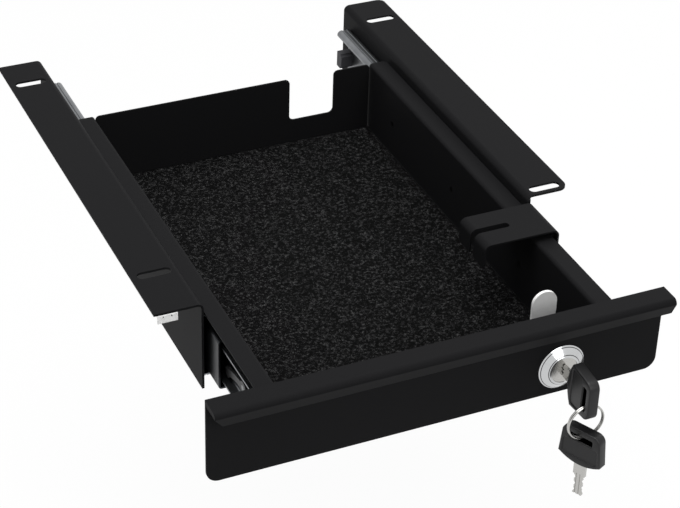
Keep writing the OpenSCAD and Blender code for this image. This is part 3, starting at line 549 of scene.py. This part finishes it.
def felt_sheet():
    low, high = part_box("felt_liner")
    columns = round((high.x - low.x) / (FELT_GRID_MM * MM))
    rows = round((high.y - low.y) / (FELT_GRID_MM * MM))
    mesh = bmesh.new()
    grid = []
    for j in range(rows + 1):
        line = []
        for i in range(columns + 1):
            x = low.x + (high.x - low.x) * i / columns
            y = low.y + (high.y - low.y) * j / rows
            rim = min(x - low.x, high.x - x, y - low.y, high.y - y)
            soft = max(0.0, 1 - rim / (FELT_EDGE_MM * MM * 2))
            wave = noise.noise(Vector((x, y, 0)) / (SWELL_MM * MM)) * SWELL_SHARE
            wave += noise.noise(Vector((x, y, 1)) / (RIPPLE_MM * MM)) * (1 - SWELL_SHARE)
            drop = FELT_EDGE_MM * MM * soft * soft * FELT_DROP_SHARE
            z = high.z - FELT_WAVE_MM * MM * (0.5 - 0.5 * wave) - drop
            line.append(mesh.verts.new((x, y, z)))
        grid.append(line)
    for j in range(rows):
        for i in range(columns):
            mesh.faces.new((grid[j][i], grid[j][i + 1], grid[j + 1][i + 1], grid[j + 1][i]))
    rim_edges = [edge for edge in mesh.edges if edge.is_boundary]
    skirt = bmesh.ops.extrude_edge_only(mesh, edges=rim_edges)
    foot = [v for v in skirt["geom"] if isinstance(v, bmesh.types.BMVert)]
    for vertex in foot:
        vertex.co.z = low.z
    bmesh.ops.holes_fill(mesh, edges=[edge for edge in mesh.edges if edge.is_boundary], sides=0)
    bmesh.ops.recalc_face_normals(mesh, faces=mesh.faces)
    data = bpy.data.meshes.new("felt_sheet")
    mesh.to_mesh(data)
    mesh.free()
    piece = bpy.data.objects.new("felt_sheet", data)
    bpy.context.collection.objects.link(piece)
    data.shade_smooth()
    return piece, high.x - low.x, high.y - low.y


felt, felt_width, felt_length = felt_sheet()
dress(felt, FELT)
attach(felt, "drawer")
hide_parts("felt_liner")
print("felt cut to", round(felt_width / MM, 1), "x", round(felt_length / MM, 1), "mm")

# %% [markdown]
# A key's head is moulded with a soft rim round a sunk panel on each
# face, and is wider next to the blade than at the ring's end. It is two
# plates with rounded edges: a frame with the panel cut out of it, and a
# thinner plate inside the frame that closes the panel. All sizes are in
# millimetres.

# %% Key heads
HEAD_W = 31.0
HEAD_END_W = 27.6
HEAD_L = 26.0
HEAD_T = 7.2
HEAD_CORNER = 5.5
NECK_L = 9.6
BOW_R = 28.0
SLOT_L = 16.4
SLOT_W = 4.2
SLOT_RIM = 4.2
PANEL_SINK = 0.6
PANEL_INSET = 3.0
PANEL_LAND = 5.0
SOFT_EDGE = 0.9
SLOT_CORNER = 0.9
PANEL_CORNER = 1.6
PLATE_INSET = 1.5
PLATE_EDGE = 0.1
ARC_STEPS = 8
BOW_STEPS = 24
BOW_TRIES = 12
SHARP_ANGLE = math.radians(40)


def rounded_outline(x0, y0, x1, y1, radius):
    """Corner points of a rounded rectangle, anticlockwise, in mm."""
    points = []
    for cx, cy, start in ((x1 - radius, y0 + radius, -90), (x1 - radius, y1 - radius, 0),
                          (x0 + radius, y1 - radius, 90), (x0 + radius, y0 + radius, 180)):
        for step in range(ARC_STEPS + 1):
            angle = math.radians(start + 90 * step / ARC_STEPS)
            points.append((cx + radius * math.cos(angle), cy + radius * math.sin(angle)))
    return points


def head_outline(inset):
    """The tapered outline with its bowed edge next to the blade, in mm."""
    x0 = -NECK_L - HEAD_L + inset
    end, side = HEAD_END_W / 2 - inset, HEAD_W / 2 - inset
    slope = (side - end) / (-NECK_L - x0)
    radius = BOW_R - inset
    # where the straight side meets the bow
    y = side
    for _ in range(BOW_TRIES):
        x = -NECK_L - BOW_R + math.sqrt(radius ** 2 - y ** 2)
        y = end + slope * (x - x0)
    points = []
    for step in range(BOW_STEPS + 1):
        across = y * (2 * step / BOW_STEPS - 1)
        points.append((-NECK_L - BOW_R + math.sqrt(radius ** 2 - across ** 2), across))
    corner = HEAD_CORNER - inset / 2
    for sign, turns in ((1, range(ARC_STEPS + 1)), (-1, range(ARC_STEPS, -1, -1))):
        for step in turns:
            angle = math.radians(90 + 90 * step / ARC_STEPS)
            points.append((x0 + corner + corner * math.cos(angle),
                           sign * (end - corner + corner * math.sin(angle))))
    return points


def inset_loop(points, amount):
    """Moves a closed outline into the material by amount, corner by corner."""
    moved = []
    count = len(points)
    for i, (x, y) in enumerate(points):
        before, after = points[i - 1], points[(i + 1) % count]
        along = Vector((after[0] - before[0], after[1] - before[1])).normalized()
        moved.append((x - along.y * amount, y + along.x * amount))
    return moved


def add_plate(mesh, outlines, thickness, edge, steps=4):
    """Adds a plate with rounded edges. Holes run clockwise, the outside does not."""
    profile = []
    for k in range(steps + 1):
        angle = math.pi / 2 * k / steps
        profile.append((thickness / 2 - edge + edge * math.sin(angle),
                        edge * (1 - math.cos(angle))))
    profile = [(-z, inset) for z, inset in reversed(profile)] + profile
    lids = {0: [], len(profile) - 1: []}
    for outline in outlines:
        rings = []
        for z, inset in profile:
            rings.append([mesh.verts.new((x * MM, y * MM, z * MM))
                          for x, y in inset_loop(outline, inset)])
        for low, high in zip(rings, rings[1:]):
            for i in range(len(low)):
                mesh.faces.new((low[i - 1], low[i], high[i], high[i - 1]))
        for level in lids:
            ring = rings[level]
            lids[level] += [mesh.edges.get((ring[i - 1], ring[i])) for i in range(len(ring))]
    for edges in lids.values():
        bmesh.ops.triangle_fill(mesh, edges=edges, use_beauty=True)


def key_head(name):
    slot_x0 = -NECK_L - HEAD_L + SLOT_RIM
    slot = rounded_outline(slot_x0, -SLOT_L / 2, slot_x0 + SLOT_W, SLOT_L / 2,
                           SLOT_CORNER)[::-1]
    panel_x0 = slot_x0 + SLOT_W + PANEL_INSET / 2
    half = HEAD_END_W / 2 - PANEL_INSET / 2
    panel = rounded_outline(panel_x0, -half, -NECK_L - PANEL_LAND, half,
                            PANEL_CORNER)[::-1]
    mesh = bmesh.new()
    add_plate(mesh, [head_outline(0), slot, panel], HEAD_T, SOFT_EDGE)
    add_plate(mesh, [head_outline(PLATE_INSET), slot], HEAD_T - 2 * PANEL_SINK, PLATE_EDGE,
              steps=1)
    bmesh.ops.recalc_face_normals(mesh, faces=mesh.faces)
    # outline x runs along the blade (Y), outline y across it (Z)
    mesh.transform(Matrix(((0, 0, 1, 0), (1, 0, 0, 0), (0, 1, 0, 0), (0, 0, 0, 1))))
    data = bpy.data.meshes.new(name)
    mesh.to_mesh(data)
    mesh.free()
    data.shade_smooth()
    data.set_sharp_from_angle(angle=SHARP_ANGLE)
    piece = bpy.data.objects.new(name, data)
    bpy.context.collection.objects.link(piece)
    return piece


PANEL_FACE_Y = -253.5
KEY_STOP = 4.9
RING_Z = -61.096
SPARE_SLOT_Z = -72.801
SPARE_TURN = math.radians(26)
SLOT_MID = -NECK_L - HEAD_L + SLOT_RIM + SLOT_W / 2

in_lock = Matrix.Translation(Vector((LOCK_X_MM, PANEL_FACE_Y - KEY_STOP, LOCK_Z_MM)) * MM)
hanging = (Matrix.Translation(Vector((LOCK_X_MM, PANEL_FACE_Y - KEY_STOP + SLOT_MID,
                                      SPARE_SLOT_Z)) * MM)
           @ Matrix.Rotation(SPARE_TURN, 4, "Z") @ Matrix.Rotation(math.radians(-90), 4, "X")
           @ Matrix.Translation(Vector((0, -SLOT_MID * MM, 0))))
for node_name, body, place in (("key_head", "key", in_lock),
                               ("spare_key_head", "spare_key", hanging)):
    head = key_head("moulded_" + node_name)
    head.data.transform(place)
    dress(head, ABS)
    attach(head, body)
    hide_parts(node_name)
    print(head.name, "has", len(head.data.polygons), "faces")

# %% [markdown]
# A split ring is one wire wound twice and pressed flat, with a step
# where it passes from one turn to the other. The path is drawn as a
# helix that stays flat and steps over in a short stretch at the top,
# and a round bevel gives the wire its thickness. Lengths are in
# millimetres.

# %% Split ring
RING_D = 25.0
WIRE_D = 1.3
WIRE_LAP = 0.1
STEP_DEGREES = 34
RING_POINTS = 240
END_GAP_DEGREES = 9


def wound_ring():
    radius = (RING_D - WIRE_D) / 2
    side = (WIRE_D - WIRE_LAP) / 2
    curve = bpy.data.curves.new("wound_split_ring", "CURVE")
    curve.dimensions = "3D"
    curve.bevel_depth = WIRE_D / 2 * MM
    curve.bevel_resolution = 4
    curve.use_fill_caps = True
    spline = curve.splines.new("POLY")
    spline.points.add(RING_POINTS)
    for i, point in enumerate(spline.points):
        share = i / RING_POINTS
        angle = math.radians(END_GAP_DEGREES + (720 - 2 * END_GAP_DEGREES) * share)
        from_step = math.degrees(angle) - 360
        ramp = min(1, max(-1, from_step / (STEP_DEGREES / 2)))
        y = side * math.sin(ramp * math.pi / 2)
        x = radius * math.sin(angle)
        z = radius * math.cos(angle)
        point.co = ((LOCK_X_MM + x) * MM, (PANEL_FACE_Y - KEY_STOP + SLOT_MID + y) * MM,
                    (RING_Z + z) * MM, 1)
    holder = bpy.data.objects.new("wire_path", curve)
    bpy.context.collection.objects.link(holder)
    data = bpy.data.meshes.new_from_object(
        holder.evaluated_get(bpy.context.evaluated_depsgraph_get()))
    bpy.data.objects.remove(holder)
    data.name = "wound_split_ring"
    data.shade_smooth()
    piece = bpy.data.objects.new("wound_split_ring", data)
    bpy.context.collection.objects.link(piece)
    return piece


ring = wound_ring()
dress(ring, NICKEL)
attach(ring, "ring")
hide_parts("split_ring")
print("ring of two turns,", len(ring.data.polygons), "faces")

# %% [markdown]
# The scene is a product studio: a pale floor below, one big soft lamp
# overhead, and two weaker ones for the front and the far side. The world
# is plain white to the camera and in every mirror image, and only lights
# the object weakly.

# %% Floor
FLOOR_DROP = 0.2  # metres below the drawer
FLOOR_SIZE = 14.0  # metres
SEEN_SHARE = 0.95  # how much of the floor's tone is plain white; the rest takes the shadow


def studio_floor():
    mesh = bmesh.new()
    bmesh.ops.create_grid(mesh, x_segments=8, y_segments=8, size=FLOOR_SIZE / 2)
    data = bpy.data.meshes.new("studio_floor")
    mesh.to_mesh(data)
    mesh.free()
    floor = bpy.data.objects.new("studio_floor", data)
    floor.location.z = cad_box[0][2] - FLOOR_DROP
    bpy.context.collection.objects.link(floor)
    material = bpy.data.materials.new("matt_studio_floor")
    material.use_nodes = True
    tree = material.node_tree
    tree.nodes.clear()
    output = tree.nodes.new("ShaderNodeOutputMaterial")
    paint = add(tree, "ShaderNodeBsdfDiffuse", {"Color": linear("#f6f6f6")})
    glow = add(tree, "ShaderNodeEmission", {"Color": linear("#ffffff"), "Strength": 1.0})
    share = add(tree, "ShaderNodeMath", {1: SEEN_SHARE}, {0: sees_background(tree)},
                operation="MULTIPLY")
    mix = add(tree, "ShaderNodeMixShader", {}, {0: share.outputs[0], 1: paint.outputs[0],
                                               2: glow.outputs[0]})
    tree.links.new(mix.outputs[0], output.inputs[0])
    floor.data.materials.append(material)
    return floor


floor = studio_floor()
print("floor at", round(floor.location.z, 3), "m")

# %% World
AMBIENT = 0.35


def studio_world():
    world = bpy.data.worlds.new("studio")
    bpy.context.scene.world = world
    world.use_nodes = True
    tree = world.node_tree
    tree.nodes.clear()
    output = tree.nodes.new("ShaderNodeOutputWorld")
    strength = add(tree, "ShaderNodeMix", {"A": AMBIENT, "B": 1.0},
                   {"Factor": sees_background(tree)}, data_type="FLOAT")
    back = add(tree, "ShaderNodeBackground", {"Color": linear("#ffffff")},
               {"Strength": strength.outputs[0]})
    tree.links.new(back.outputs[0], output.inputs[0])


studio_world()
print("world set")

# %% Lamps
LAMP_AIM = Vector((0, -0.1, -0.03))
LAMPS = [
    # name, place in m, size in m, watts
    ("overhead_softbox", (-0.25, -0.15, 1.5), 1.3, 26.0),
    ("front_fill", (0.2, -1.9, 1.1), 1.0, 12.0),
    ("far_side_fill", (1.5, 0.6, 0.8), 0.9, 7.0),
]


def add_lamp(name, place, size, watts):
    data = bpy.data.lights.new(name, "AREA")
    data.shape = "SQUARE"
    data.size = size
    data.energy = watts
    lamp = bpy.data.objects.new(name, data)
    lamp.location = place
    lamp.rotation_euler = (LAMP_AIM - Vector(place)).to_track_quat("-Z", "Y").to_euler()
    bpy.context.collection.objects.link(lamp)


for lamp in LAMPS:
    add_lamp(*lamp)
bpy.context.scene.view_settings.view_transform = "Standard"
print("lamps:", len(LAMPS))
